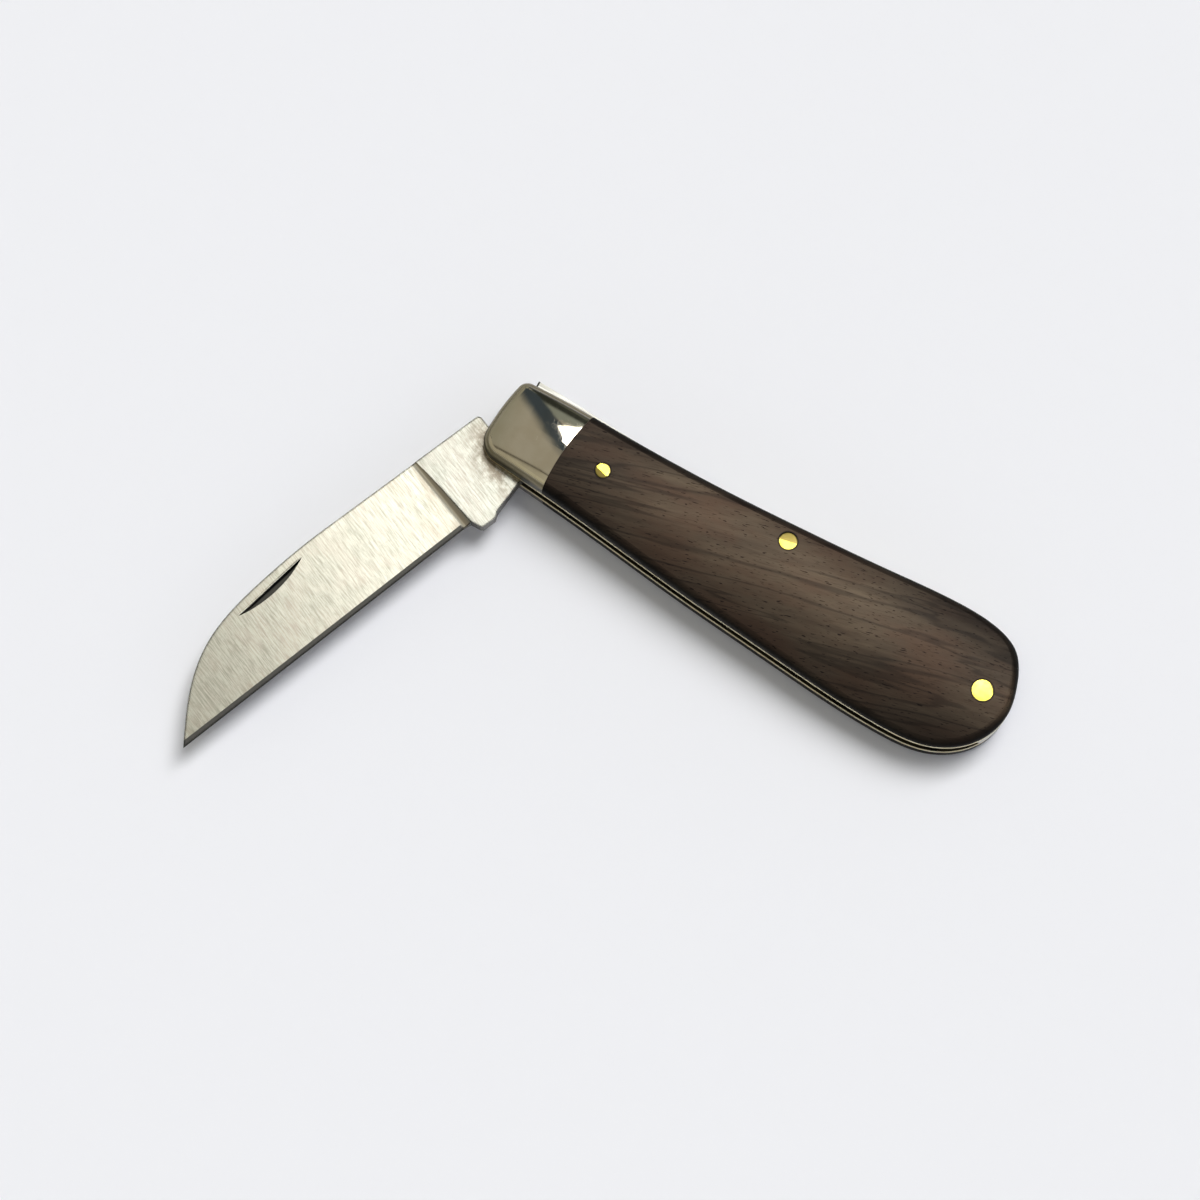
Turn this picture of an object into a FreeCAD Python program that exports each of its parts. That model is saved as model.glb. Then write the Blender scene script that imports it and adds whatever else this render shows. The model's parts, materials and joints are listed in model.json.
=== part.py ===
import FreeCAD, Part
import math
import os

import Sketcher
from FreeCAD import Vector

# Slip-joint pocket knife with one lambsfoot blade, half open.
# Every piece is drawn about the pivot axis, with +X towards the butt and +Y towards the back, and then placed
# so that the origin lies on the flat of the pile side, on which the knife rests.

os.makedirs("parts", exist_ok=True)
doc = FreeCAD.newDocument("pocket_knife")
sheet = doc.addObject("Spreadsheet::Sheet", "Sizes")

SIZES = {
    # handle, in plan
    "handle_length": 89.0,
    "front_reach": 6.1,
    "back_rise": 9.18,
    "belly_drop": 13.05,
    "front_corner_radius": 1.75,
    "chin_radius": 3.46,
    "rest_reach": 38.0,
    "rest_drop": 2.0,
    # handle, through its thickness
    "scale_thickness": 3.2,
    "liner_thickness": 0.8,
    "spring_thickness": 2.5,
    "scale_round": 1.5,
    "crown_radius": 38.0,
    "crown_rise": 0.6,
    "front_roll_radius": 80.0,
    "front_roll_reach": 7.0,
    "butt_roll_radius": 320.0,
    "butt_roll_reach": 31.0,
    "joint_reach": 5.85,
    "joint_drop": 3.0,
    "joint_radius": 40.0,
    "seam_gap": 0.02,
    # pins and rivets
    "pivot_diameter": 3.0,
    "pivot_clearance": 0.03,
    "pin_clearance": 0.02,
    "middle_pin_diameter": 2.8,
    "middle_pin_inset": 3.05,
    "end_pin_diameter": 3.3,
    "end_pin_inset": 5.0,
    "end_pin_drop": 1.4,
    "scale_pin_diameter": 2.3,
    "scale_pin_behind_joint": 6.8,
    "scale_pin_rise": 0.6,
    "rivet_diameter": 1.4,
    "rivet_depth": 1.6,
    "rivet_inset": 2.6,
    # backspring
    "tang_flat": 4.1,
    "spring_lift": 1.25,
    "run_gap": 0.08,
    "nose_reach": 3.18,
    "nose_length": 6.6,
    "spring_waist": 2.9,
    "spring_collar": 1.5,
    "tail_length": 12.0,
    "tail_foot": 3.2,
    # blade
    "blade_thickness": 2.4,
    "blade_width": 12.6,
    "tip_clearance": 1.9,
    "spine_straight": 33.4,
    "tip_drop": 1.34,
    "heel_reach": 15.8,
    "shoulder_gap": 0.1,
    "shoulder_round": 0.65,
    "kick_reach": 13.4,
    "kick_length": 2.3,
    "kick_height": 1.75,
    "kick_ramp": 0.95,
    "neck_reach": 4.67,
    "neck_drop": 4.18,
    "flat_end": 1.5,
    "grind_step": 0.2,
    "bevel_width": 0.8,
    "bevel_thickness": 0.56,
    "edge_thickness": 0.1,
    "plunge_radius": 1.6,
    "nick_reach": 37.2,
    "nick_length": 14.3,
    "nick_below_spine": 1.4,
    "nick_slope": 1.5,
    "nick_bulge": 2.0,
    "nick_depth": 0.72,
    # angles, in degrees
    "crown_turn": 2.2,
    "closed_angle": 9.0,
    "open_angle": 113.4,
    # run past a face by every cut
    "overrun": 4.0,
}

# Plan outline of the handle: shares of the handle's length from its front, and of the back's rise
back_shares = [(0.215, 0.806), (0.383, 0.786), (0.570, 0.843), (0.709, 0.917), (0.838, 1.0), (0.911, 0.953),
               (0.963, 0.735), (0.991, 0.240)]
front_corner_shares = (0.014, 0.857)
front_bow_shares = (0.0040, 0.33)
# The same along the belly, of the belly's drop, from the butt forward to the chin under the bolster
belly_shares = [(1.0, 0.153), (0.981, 0.582), (0.917, 0.920), (0.821, 1.0), (0.608, 0.881), (0.406, 0.728),
                (0.194, 0.530)]
chin_shares = (0.039, 0.410)
front_foot_shares = (0.0006, 0.153)
# Points of the spring's arm, as shares of its length from the middle pin to the nose
arm_shares = [0.35, 0.62, 0.83]
# Spine from the end of its straight stretch to the tip: shares of the run and of the fall
spine_shares = [(0.169, 0.016), (0.340, 0.055), (0.507, 0.121), (0.675, 0.264), (0.801, 0.472),
                (0.928, 0.790)]
# Inner line of the spring's tail: shares of the tail's length behind its front, and of the belly's drop
tail_shares = [(0.0, 0.02), (0.12, 0.38), (0.40, 0.62)]
# The middle pin, as a share of the handle's length from its front
middle_pin_share = 0.541
# Floor of the nail nick beside its mouth
nick_floor_share = 0.25
nick_floor_inset_share = 0.12
# A face of the crowned top leans up by at least this much
top_lean_share = 0.7
kick_corner_share = 0.2
tail_root_share = 0.87
collar_length_share = 2.0

for row, (alias, value) in enumerate(SIZES.items(), start=1):
    sheet.set("A%d" % row, alias.replace("_", " "))
    sheet.set("B%d" % row, str(value))
    sheet.setAlias("B%d" % row, alias)
doc.recompute()


def size(alias):
    return float(sheet.get(alias))


def cell(alias):
    return "Sizes." + alias


# Sizes that follow from the sheet

BUTT = size("handle_length") - size("front_reach")
SPINE = front_corner_shares[1] * size("back_rise")
EDGE = size("blade_width") - SPINE
TAIL = BUTT - size("tail_length")
TIP = TAIL - size("tip_clearance")
TANG_ROUND = size("tang_flat") + size("spring_lift") - size("run_gap")
MIDDLE_PIN_X = middle_pin_share * size("handle_length") - size("front_reach")
SCALE_LEVEL = "Sizes.scale_thickness"
LINER_LEVEL = "Sizes.scale_thickness + Sizes.liner_thickness"
MID_LEVEL = LINER_LEVEL + " + Sizes.spring_thickness / 2"
MARK_LINER_LEVEL = LINER_LEVEL + " + Sizes.spring_thickness"
MARK_SCALE_LEVEL = MARK_LINER_LEVEL + " + Sizes.liner_thickness"
HANDLE_THICKNESS = MARK_SCALE_LEVEL + " + Sizes.scale_thickness"


def back_point(shares):
    return Vector(shares[0] * size("handle_length") - size("front_reach"), shares[1] * size("back_rise"))


def belly_point(shares):
    return Vector(shares[0] * size("handle_length") - size("front_reach"), -shares[1] * size("belly_drop"))


def curve_through(points, start_tangent=None, end_tangent=None):
    curve = Part.BSplineCurve()
    if start_tangent is None:
        curve.interpolate(points)
    else:
        curve.interpolate(points, InitialTangent=start_tangent, FinalTangent=end_tangent)
    return curve


def split_at_points(curve, marks):
    # The same curve in shorter stretches, parted at the points with these numbers
    knots = curve.getKnots()
    stops = [0] + marks + [len(knots) - 1]
    stretches = []
    for first, last in zip(stops, stops[1:]):
        stretch = curve.copy()
        stretch.segment(knots[first], knots[last])
        stretches.append(stretch)
    return stretches


def back_height(x):
    edge = handle_curve().toShape()
    line = Part.makeLine(Vector(x, 0), Vector(x, size("back_rise") + size("overrun")))
    return line.distToShape(edge)[1][0][0].y


def front_circle():
    corner = back_point(front_corner_shares)
    front = Part.Arc(belly_point(front_foot_shares), back_point(front_bow_shares), corner)
    return front.toShape().Curve


def towards(centre, point, radius):
    return centre + (point - centre).normalize() * radius


def front_corner():
    # An arc from the front, which it touches, to the back, where it ends level
    front = front_circle()
    radius = size("front_corner_radius")
    drop = SPINE - radius - front.Center.y
    centre = front.Center + Vector(-math.sqrt((front.Radius - radius) ** 2 - drop ** 2), drop)
    on_front = towards(front.Center, centre, front.Radius)
    on_back = centre + Vector(0, radius)
    return on_front, towards(centre, (on_front + on_back) / 2, radius), on_back


def belly_direction():
    return (belly_point(belly_shares[-1]) - belly_point(chin_shares)).normalize()


def chin():
    # An arc from the belly to the front, touching both
    front = front_circle()
    radius = size("chin_radius")
    along = belly_direction()
    inward = Vector(-along.y, along.x)
    start = belly_point(chin_shares) + inward * radius - front.Center
    forward = start.dot(along)
    reach = math.sqrt(forward ** 2 - start.dot(start) + (front.Radius - radius) ** 2)
    centre = front.Center + start - along * (forward + reach)
    on_belly = centre - inward * radius
    on_front = towards(front.Center, centre, front.Radius)
    return on_belly, towards(centre, (on_belly + on_front) / 2, radius), on_front


def handle_curve():
    # From the front corner along the back, round the butt and along the belly to the chin
    back = [back_point(shares) for shares in back_shares]
    belly = [belly_point(shares) for shares in belly_shares]
    return curve_through([front_corner()[-1]] + back + belly + [chin()[0]], Vector(1, 0), -belly_direction())


def handle_outline():
    front = front_circle()
    foot = chin()
    head = front_corner()
    front_middle = towards(front.Center, (foot[-1] + head[0]) / 2, front.Radius)
    swell = len(back_shares) - 3
    keel = len(back_shares) + 4
    return split_at_points(handle_curve(), [swell // 2, swell, keel, keel + 2]) + [
        Part.Arc(*foot),
        Part.Arc(foot[-1], front_middle, head[0]),
        Part.Arc(*head),
    ]


# Bodies, sketches and features

def new_body(label):
    body = doc.addObject("PartDesign::Body", label)
    body.Label = label
    body.setExpression("Placement.Base.x", "-Sizes.rest_reach")
    body.setExpression("Placement.Base.y", "Sizes.rest_drop")
    return body


def new_sketch(body, name, level=None, role="XY_Plane"):
    sketch = body.newObject("Sketcher::SketchObject", name)
    planes = [plane for plane in body.Origin.OriginFeatures if plane.Role == role]
    sketch.AttachmentSupport = (planes[0], [""])
    sketch.MapMode = "FlatFace"
    if level is not None:
        sketch.setExpression("AttachmentOffset.Base.z", level)
    doc.recompute()
    return sketch


def draw(sketch, curves):
    first = sketch.GeometryCount
    for curve in curves:
        sketch.addGeometry(curve, False)
    ids = list(range(first, sketch.GeometryCount))
    for one, two in zip(ids, ids[1:] + ids[:1]):
        apart = {}
        for i in (1, 2):
            for j in (1, 2):
                apart[i, j] = sketch.getPoint(one, i).distanceToPoint(sketch.getPoint(two, j))
        if len(ids) > 2 or one < two:
            i, j = min(apart, key=apart.get)
            sketch.addConstraint(Sketcher.Constraint("Coincident", one, i, two, j))


def polygon(points):
    return [Part.LineSegment(a, b) for a, b in zip(points, points[1:] + points[:1])]


def draw_hole(sketch, x, y, diameter, clearance):
    radius = size(diameter) / 2 + size(clearance)
    hole = sketch.addGeometry(Part.Circle(Vector(x, y), Vector(0, 0, 1), radius), False)
    sketch.addConstraint(Sketcher.Constraint("DistanceX", -1, 1, hole, 3, x))
    sketch.addConstraint(Sketcher.Constraint("DistanceY", -1, 1, hole, 3, y))
    bound = sketch.addConstraint(Sketcher.Constraint("Radius", hole, radius))
    sketch.setExpression("Constraints[%d]" % bound, cell(diameter) + " / 2 + " + cell(clearance))


def pad(body, sketch, name, length, downward=False):
    feature = body.newObject("PartDesign::Pad", name)
    feature.Profile = sketch
    feature.setExpression("Length", length)
    feature.Reversed = downward
    doc.recompute()
    return feature


def pocket(body, sketch, name, length, reverse=False, both_ways=False):
    before = body.Shape.Volume
    feature = body.newObject("PartDesign::Pocket", name)
    feature.Profile = sketch
    feature.setExpression("Length", length)
    feature.Reversed = reverse
    if both_ways:
        feature.SideType = "Symmetric"
    doc.recompute()
    if not body.Shape.Volume < before:
        raise ValueError(name + " cuts nothing")
    return feature


def through(body, sketch, name):
    return pocket(body, sketch, name, "4 * (" + HANDLE_THICKNESS + ")", both_ways=True)


def outer_face_name(feature, upward):
    faces = feature.Shape.Faces
    levels = [face.CenterOfMass.z if upward else -face.CenterOfMass.z for face in faces]
    return "Face%d" % (levels.index(max(levels)) + 1)


# Pin places, each as (x, y, diameter)

def pin_places():
    joint = size("joint_reach")
    return {
        "pivot": (0.0, 0.0, "pivot_diameter"),
        "middle": (MIDDLE_PIN_X, back_height(MIDDLE_PIN_X) - size("middle_pin_inset"), "middle_pin_diameter"),
        "end": (BUTT - size("end_pin_inset"), -size("end_pin_drop"), "end_pin_diameter"),
        "scale": (joint + size("scale_pin_behind_joint"), size("scale_pin_rise"), "scale_pin_diameter"),
    }


PINS = pin_places()


def rivet_places():
    inset = size("rivet_inset")
    low = belly_point(chin_shares).y
    return [(-size("front_reach") + inset, SPINE - inset), (size("joint_reach") - inset, low + inset / 2)]


RIVETS = rivet_places()


def joint_cut(grow, front):
    # The bolster and the scale meet on one arc, bowed towards the front
    radius = size("joint_radius") + grow
    centre = Vector(size("joint_reach") + size("joint_radius"), -size("joint_drop"))
    reach = size("back_rise") + size("belly_drop")
    half_angle = math.asin(reach / radius)
    top = centre + Vector(-radius * math.cos(half_angle), radius * math.sin(half_angle))
    low = centre + Vector(-radius * math.cos(half_angle), -radius * math.sin(half_angle))
    far = -size("front_reach") - size("overrun") if front else BUTT + size("overrun")
    arc = Part.Arc(top, centre + Vector(-radius, 0), low)
    sides = [low, Vector(far, low.y), Vector(far, top.y), top]
    return [arc] + [Part.LineSegment(a, b) for a, b in zip(sides, sides[1:])]


def crown_profile():
    # The mark side's top along the handle, above the axis that it is turned about: level, with falling ends
    top = size("crown_radius")
    left = -size("front_reach") - size("overrun")
    right = BUTT + size("overrun")
    front = Vector(size("front_roll_reach"), top)
    butt = Vector(BUTT - size("butt_roll_reach"), top)

    def rolled(x, start, radius):
        return Vector(x, top - radius + math.sqrt(radius ** 2 - (x - start.x) ** 2))

    front_end = rolled(left, front, size("front_roll_radius"))
    front_middle = rolled((left + front.x) / 2, front, size("front_roll_radius"))
    butt_end = rolled(right, butt, size("butt_roll_radius"))
    butt_middle = rolled((right + butt.x) / 2, butt, size("butt_roll_radius"))
    above = [butt_end, Vector(right, top + size("overrun")), Vector(left, top + size("overrun")), front_end]
    return [
        Part.Arc(front_end, front_middle, front),
        Part.LineSegment(front, butt),
        Part.Arc(butt, butt_middle, butt_end),
    ] + [Part.LineSegment(a, b) for a, b in zip(above, above[1:])]


def cut_crown(body, label):
    section = new_sketch(body, label + "_crown_section", role="XZ_Plane")
    turn = FreeCAD.Rotation(Vector(0, 1, 0), -size("crown_turn"))
    section.AttachmentOffset = FreeCAD.Placement(Vector(0, 0, -size("crown_rise")), turn)
    section.setExpression("AttachmentOffset.Base.y", HANDLE_THICKNESS + " - Sizes.crown_radius")
    draw(section, crown_profile())
    before = body.Shape.Volume
    crown = body.newObject("PartDesign::Groove", label + "_crown")
    crown.Profile = section
    crown.ReferenceAxis = (section, ["H_Axis"])
    crown.Angle = 360
    doc.recompute()
    if not body.Shape.Volume < before:
        raise ValueError(label + "_crown cuts nothing")
    return crown


def top_rim_names(feature):
    # Edges between the crowned top, which is more than one face, and the walls
    shape = feature.Shape
    tops = []
    for face in shape.Faces:
        low_u, high_u, low_v, high_v = face.ParameterRange
        lean = abs(face.normalAt((low_u + high_u) / 2, (low_v + high_v) / 2).z)
        if lean > top_lean_share and face.CenterOfMass.z > shape.BoundBox.Center.z:
            tops.append(face)
    names = []
    for number, edge in enumerate(shape.Edges, start=1):
        touching = [face for face in tops if any(edge.isSame(other) for other in face.Edges)]
        if len(touching) == 1:
            names.append("Edge%d" % number)
    return names


def round_off(body, label, feature, names):
    rounded = body.newObject("PartDesign::Fillet", label + "_round")
    rounded.Base = (feature, names)
    rounded.setExpression("Radius", cell("scale_round"))
    doc.recompute()


def rounded_half(label, level, upward):
    # One side of the handle: the outline raised by a scale's thickness, with its outer edge rounded
    body = new_body(label)
    outline = new_sketch(body, label + "_outline", level)
    draw(outline, handle_outline())
    raised = pad(body, outline, label + "_pad", cell("scale_thickness"), downward=not upward)
    if upward:
        crown = cut_crown(body, label)
        round_off(body, label, crown, top_rim_names(crown))
    else:
        round_off(body, label, raised, [outer_face_name(raised, upward)])
    return body


def make_scale(side, level, upward):
    body = rounded_half(side + "_scale", level, upward)
    front = new_sketch(body, side + "_scale_front", level)
    draw(front, joint_cut(0.0, front=True))
    through(body, front, side + "_scale_front_cut")
    holes = new_sketch(body, side + "_scale_holes", level)
    for name in ("middle", "end", "scale"):
        draw_hole(holes, *PINS[name], "pin_clearance")
    through(body, holes, side + "_scale_drilling")


def make_bolster(side, level, upward):
    body = rounded_half(side + "_bolster", level, upward)
    rear = new_sketch(body, side + "_bolster_rear", level)
    draw(rear, joint_cut(size("seam_gap"), front=False))
    through(body, rear, side + "_bolster_rear_cut")
    holes = new_sketch(body, side + "_bolster_hole", level)
    draw_hole(holes, *PINS["pivot"], "pin_clearance")
    through(body, holes, side + "_bolster_drilling")
    sockets = new_sketch(body, side + "_bolster_sockets", level)
    for x, y in RIVETS:
        draw_hole(sockets, x, y, "rivet_diameter", "pin_clearance")
    depth = "Sizes.rivet_depth + Sizes.pin_clearance"
    pocket(body, sockets, side + "_bolster_rivet_sockets", depth, reverse=upward)


def make_liner(side, level):
    body = new_body(side + "_liner")
    outline = new_sketch(body, side + "_liner_outline", level)
    draw(outline, handle_outline())
    pad(body, outline, side + "_liner_pad", cell("liner_thickness"))
    holes = new_sketch(body, side + "_liner_holes", level)
    for place in PINS.values():
        draw_hole(holes, *place, "pin_clearance")
    for x, y in RIVETS:
        draw_hole(holes, x, y, "rivet_diameter", "pin_clearance")
    through(body, holes, side + "_liner_drilling")


# The backspring, bent up by the tang as it is with the blade half open

def arm_lift(x):
    # Bend of a bar held at the middle pin and pushed up at its nose
    share = (MIDDLE_PIN_X - x) / (MIDDLE_PIN_X + size("nose_reach"))
    return size("spring_lift") * (3 * share ** 2 - share ** 3) / 2


def spring_back():
    nose = -size("nose_reach")
    root = MIDDLE_PIN_X
    points = [Vector(nose, SPINE + size("spring_lift"))]
    for share in reversed(arm_shares):
        x = root + (nose - root) * share
        points.append(Vector(x, back_height(x) + arm_lift(x)))
    points.append(Vector(root, back_height(root)))
    points += [back_point(shares) for shares in back_shares if back_point(shares).x > root]
    points += [belly_point(belly_shares[0]), belly_point(belly_shares[1])]
    return points


def spring_underside():
    nose = -size("nose_reach")
    lifted = size("tang_flat") + size("spring_lift")
    pin_x, pin_y, pin_diameter = PINS["middle"]
    wall = size(pin_diameter) / 2 + size("spring_collar")
    waist_front = nose + size("nose_length") + size("kick_reach")
    collar_front = pin_x - wall * collar_length_share
    collar_rear = pin_x + wall * collar_length_share
    tail_root = TAIL * tail_root_share
    waist = [
        Vector(nose, lifted),
        Vector(nose + size("nose_length"), lifted),
        Vector(waist_front, back_height(waist_front) + arm_lift(waist_front) - size("spring_waist")),
        Vector(collar_front, back_height(collar_front) - size("spring_waist")),
    ]
    collar_end = Vector(collar_rear, back_height(collar_rear) - size("spring_waist") - size("spring_collar"))
    tail = [Vector(tail_root, back_height(tail_root) - size("spring_waist") - size("tail_foot"))]
    for share, drop in tail_shares:
        tail.append(Vector(TAIL + size("tail_length") * share, -size("belly_drop") * drop))
    foot = belly_point(belly_shares[1])
    along = Vector(1, 0)
    runs = [Part.LineSegment(a, b) for a, b in zip(waist, waist[1:])]
    runs.append(curve_through([waist[-1], Vector(pin_x, pin_y - wall), collar_end], along, along))
    runs.append(Part.LineSegment(collar_end, tail[0]))
    runs.append(curve_through(tail + [foot], (tail[0] - collar_end).normalize(), along))
    return runs


def make_backspring():
    body = new_body("backspring")
    outline = new_sketch(body, "backspring_outline", LINER_LEVEL)
    outer = spring_back()
    underside = spring_underside()
    nose_end = Part.LineSegment(outer[0], underside[0].StartPoint)
    back = split_at_points(curve_through(outer), [len(arm_shares) + 1, len(outer) - 4])
    draw(outline, back[::-1] + [nose_end] + underside)
    pad(body, outline, "backspring_pad", cell("spring_thickness"))
    holes = new_sketch(body, "backspring_holes", LINER_LEVEL)
    for name in ("middle", "end"):
        draw_hole(holes, *PINS[name], "pin_clearance")
    through(body, holes, "backspring_drilling")


# The blade, drawn along +X with its edge towards +Y, as it lies when it is shut

def tang_and_kick():
    closed = math.radians(size("closed_angle"))
    along_flat = Vector(math.cos(closed), math.sin(closed))
    off_flat = Vector(-math.sin(closed), math.cos(closed)) * size("tang_flat")
    flat_half = math.sqrt(TANG_ROUND ** 2 - size("tang_flat") ** 2)
    kick_level = EDGE + size("kick_height")
    kick_corner = size("kick_height") * kick_corner_share
    kick_front = size("kick_reach") - size("kick_length")
    heel = Vector(size("heel_reach"), EDGE)
    return [
        heel,
        Vector(size("kick_reach") + size("kick_ramp"), EDGE),
        Vector(size("kick_reach") + kick_corner, kick_level - kick_corner),
        Vector(size("kick_reach"), kick_level),
        Vector(kick_front, kick_level),
        Vector(kick_front - size("kick_ramp"), kick_level - kick_corner * 2),
        Vector(size("neck_reach"), size("neck_drop")),
        off_flat + along_flat * size("flat_end"),
        off_flat - along_flat * flat_half,
    ], Vector(-flat_half, -size("tang_flat"))


def blade_outline():
    lower, flat_start = tang_and_kick()
    shoulder = size("nose_reach") + size("shoulder_gap")
    corner = size("shoulder_round")
    notch = Vector(shoulder, -size("tang_flat"))
    rise = Vector(shoulder, -SPINE + corner)
    top = Vector(shoulder + corner, -SPINE)
    bow = Vector(shoulder + corner * (1 - math.sqrt(0.5)), -SPINE + corner * (1 - math.sqrt(0.5)))
    straight_end = Vector(size("spine_straight"), -SPINE)
    tip = Vector(TIP, EDGE + size("tip_drop"))
    run = tip - straight_end
    spine = [straight_end] + [straight_end + Vector(run.x * a, run.y * b) for a, b in spine_shares] + [tip]
    falling = spine[-1] - spine[-2]
    edges = [Part.LineSegment(tip, lower[0])]
    edges += [Part.LineSegment(a, b) for a, b in zip(lower, lower[1:])]
    edges += [
        Part.Arc(lower[-1], Vector(-TANG_ROUND, 0), flat_start),
        Part.LineSegment(flat_start, notch),
        Part.LineSegment(notch, rise),
        Part.Arc(rise, bow, top),
        Part.LineSegment(top, straight_end),
        curve_through(spine, Vector(1, 0), falling.normalize()),
    ]
    return edges


def grind_slope():
    # Rise of the ground face towards the spine
    rise = (size("blade_thickness") - size("bevel_thickness")) / 2 - size("grind_step")
    return math.atan2(rise, size("blade_width") - size("bevel_width"))


def edge_angle():
    return math.degrees(math.atan2(size("tip_drop"), TIP - size("heel_reach")))


def grind_section(side):
    # What the stone takes off one face, seen along the edge: the flat grind and the cutting bevel
    half = size("blade_thickness") / 2
    bevel = Vector(-size("bevel_width"), side * size("bevel_thickness") / 2)
    spine = Vector(-size("blade_width"), side * (half - size("grind_step")))
    beyond_spine = spine + (spine - bevel) * (size("overrun") / size("blade_width"))
    edge = Vector(0, side * size("edge_thickness") / 2)
    below = Vector(size("overrun"), edge.y)
    clear = side * (half + size("overrun"))
    return polygon([beyond_spine, bevel, edge, below, Vector(below.x, clear), Vector(beyond_spine.x, clear)])


def grind_blade(body):
    for side, name in ((1, "mark"), (-1, "pile")):
        section = new_sketch(body, "blade_%s_grind_section" % name, role="YZ_Plane")
        turn = FreeCAD.Rotation(Vector(0, 1, 0), edge_angle())
        section.AttachmentOffset = FreeCAD.Placement(Vector(EDGE, 0, size("heel_reach")), turn)
        draw(section, grind_section(side))
        pocket(body, section, "blade_%s_grind" % name, "Sizes.handle_length", reverse=True)


def cut_plunge(body):
    # The stone's round edge leaves a hollow that rises from the ground face to the ricasso
    slope = grind_slope()
    foot = size("bevel_thickness") / 2 - size("bevel_width") * math.tan(slope)
    radius = size("plunge_radius")
    for side, name in ((1, "mark"), (-1, "pile")):
        section = new_sketch(body, "blade_%s_plunge_section" % name, role="XZ_Plane")
        along_edge = FreeCAD.Rotation(Vector(0, 1, 0), edge_angle())
        across = FreeCAD.Rotation(Vector(1, 0, 0), -side * math.degrees(slope))
        place = Vector(size("heel_reach"), side * foot, -EDGE)
        section.AttachmentOffset = FreeCAD.Placement(place, along_edge * across)
        section.addGeometry(Part.Circle(Vector(0, side * radius), Vector(0, 0, 1), radius), False)
        pocket(body, section, "blade_%s_plunge" % name, "4 * Sizes.blade_width", both_ways=True)


def nick_outline(bulge, inset):
    start = Vector(size("nick_reach") + inset, -SPINE + size("nick_below_spine"))
    end = start + Vector(size("nick_length") - inset * 2, size("nick_slope"))
    middle = (start + end) / 2 + Vector(size("nick_slope"), bulge)
    return [Part.LineSegment(end, start), Part.Arc(start, middle, end)]


def cut_nick(body):
    mouth = new_sketch(body, "blade_nick_mouth", "Sizes.blade_thickness / 2")
    draw(mouth, nick_outline(size("nick_bulge"), 0.0))
    floor = new_sketch(body, "blade_nick_floor", "Sizes.blade_thickness / 2 - Sizes.nick_depth")
    floor_inset = size("nick_length") * nick_floor_inset_share
    draw(floor, nick_outline(size("nick_bulge") * nick_floor_share, floor_inset))
    before = body.Shape.Volume
    nick = body.newObject("PartDesign::SubtractiveLoft", "blade_nick")
    nick.Profile = mouth
    nick.Sections = [floor]
    nick.Ruled = True
    doc.recompute()
    if not body.Shape.Volume < before:
        raise ValueError("blade_nick cuts nothing")


def make_blade():
    body = new_body("blade")
    body.setExpression("Placement.Base.z", MID_LEVEL)
    body.setExpression("Placement.Rotation.Angle", "-Sizes.open_angle")
    outline = new_sketch(body, "blade_outline")
    draw(outline, blade_outline())
    raised = pad(body, outline, "blade_pad", cell("blade_thickness"))
    raised.SideType = "Symmetric"
    doc.recompute()
    grind_blade(body)
    cut_plunge(body)
    cut_nick(body)
    hole = new_sketch(body, "blade_pivot_hole")
    draw_hole(hole, *PINS["pivot"], "pivot_clearance")
    through(body, hole, "blade_drilling")


# Pins run through the whole handle and are finished flush with its rounded sides

def make_rod(name, place, diameter, level, length):
    rod = doc.addObject("Part::Cylinder", name)
    rod.setExpression("Radius", cell(diameter) + " / 2")
    rod.setExpression("Height", length)
    rod.setExpression("Placement.Base.x", "%r - Sizes.rest_reach" % place[0])
    rod.setExpression("Placement.Base.y", "%r + Sizes.rest_drop" % place[1])
    rod.setExpression("Placement.Base.z", level)
    rod.Label = name
    return rod


def make_handle_form():
    # The whole handle as one rounded block, only to finish the pins against
    body = new_body("handle_form")
    outline = new_sketch(body, "handle_form_outline")
    draw(outline, handle_outline())
    pad(body, outline, "handle_form_pad", HANDLE_THICKNESS)
    crown = cut_crown(body, "handle_form")
    round_off(body, "handle_form", crown, top_rim_names(crown) + [outer_face_name(crown, False)])
    return body


def make_flush_pin(name, place, level, length, form):
    rod = make_rod(name + "_rod", place[:2], place[2], level, length)
    pin = doc.addObject("Part::Common", name)
    pin.Base = rod
    pin.Tool = form
    pin.Label = name
    doc.recompute()


def make_rivets(side, level):
    length = "Sizes.liner_thickness + Sizes.rivet_depth"
    rods = []
    for number, place in enumerate(RIVETS, start=1):
        rods.append(make_rod("%s_rivet_%d" % (side, number), place, "rivet_diameter", level, length))
    group = doc.addObject("Part::Compound", side + "_bolster_rivets")
    group.Links = rods
    group.Label = side + "_bolster_rivets"


make_blade()
make_backspring()
make_liner("pile_side", SCALE_LEVEL)
make_liner("mark_side", MARK_LINER_LEVEL)
make_bolster("pile_side", SCALE_LEVEL, upward=False)
make_bolster("mark_side", MARK_SCALE_LEVEL, upward=True)
make_scale("pile_side", SCALE_LEVEL, upward=False)
make_scale("mark_side", MARK_SCALE_LEVEL, upward=True)

handle_form = make_handle_form()
make_flush_pin("pivot_pin", PINS["pivot"], "0", HANDLE_THICKNESS, handle_form)
make_flush_pin("spring_middle_pin", PINS["middle"], "0", HANDLE_THICKNESS, handle_form)
make_flush_pin("spring_end_pin", PINS["end"], "0", HANDLE_THICKNESS, handle_form)
SIDE_LENGTH = "Sizes.scale_thickness + Sizes.liner_thickness"
make_flush_pin("pile_side_scale_pin", PINS["scale"], "0", SIDE_LENGTH, handle_form)
make_flush_pin("mark_side_scale_pin", PINS["scale"], MARK_LINER_LEVEL, SIDE_LENGTH, handle_form)
make_rivets("pile_side", "Sizes.scale_thickness - Sizes.rivet_depth")
make_rivets("mark_side", MARK_LINER_LEVEL)
doc.recompute()

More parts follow.
